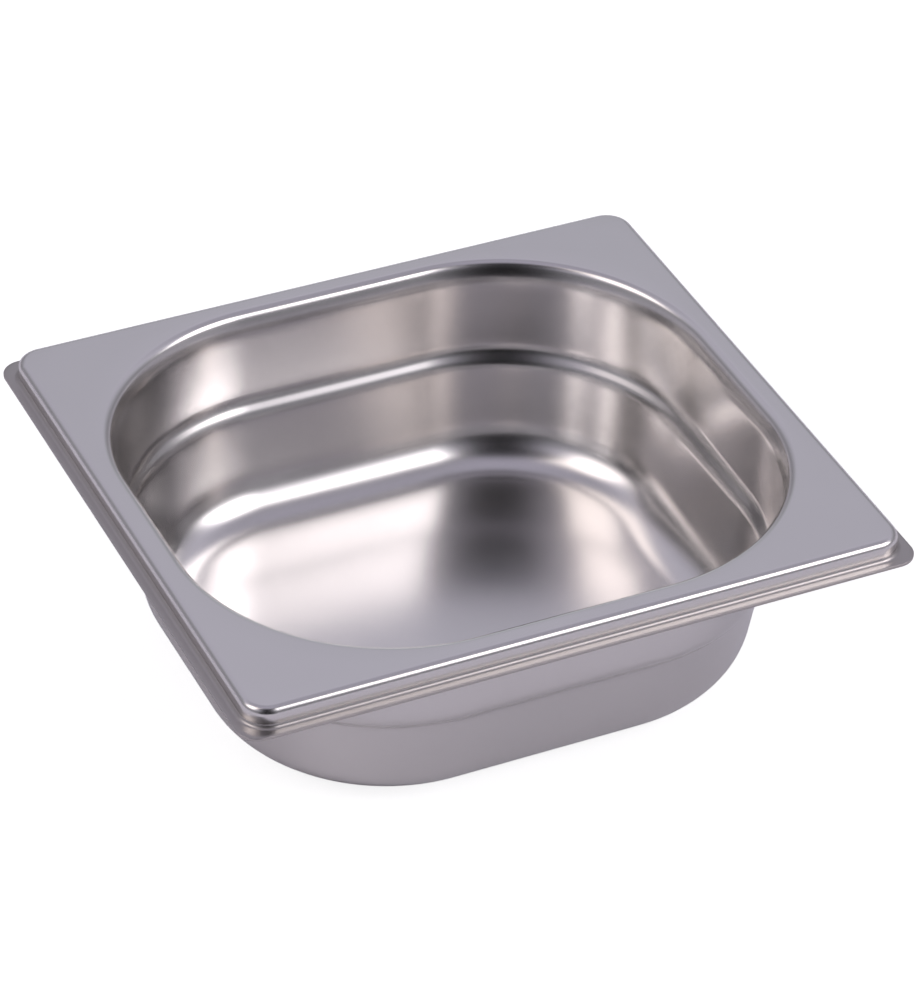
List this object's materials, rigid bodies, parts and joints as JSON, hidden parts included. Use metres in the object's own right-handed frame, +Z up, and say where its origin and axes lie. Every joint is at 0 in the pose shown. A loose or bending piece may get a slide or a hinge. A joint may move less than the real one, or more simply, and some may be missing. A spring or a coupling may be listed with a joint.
{
  "type": "food pan",
  "caption": "Shallow sixth-size steam-table food pan pressed from stainless sheet, with a beaded rim, a narrow outer lip, a stacking shoulder and generously rounded corners.",
  "frame": {"origin": "middle of the base, on the plane the pan stands on", "axes": "+X along the longer side of the rim, +Y along the shorter side, +Z up out of the pan's mouth"},
  "size_m": [0.176, 0.162, 0.056],
  "materials": {
    "steel": "satin"
  },
  "bodies": {
    "root": {"pan": "steel"}
  },
  "joints": []
}
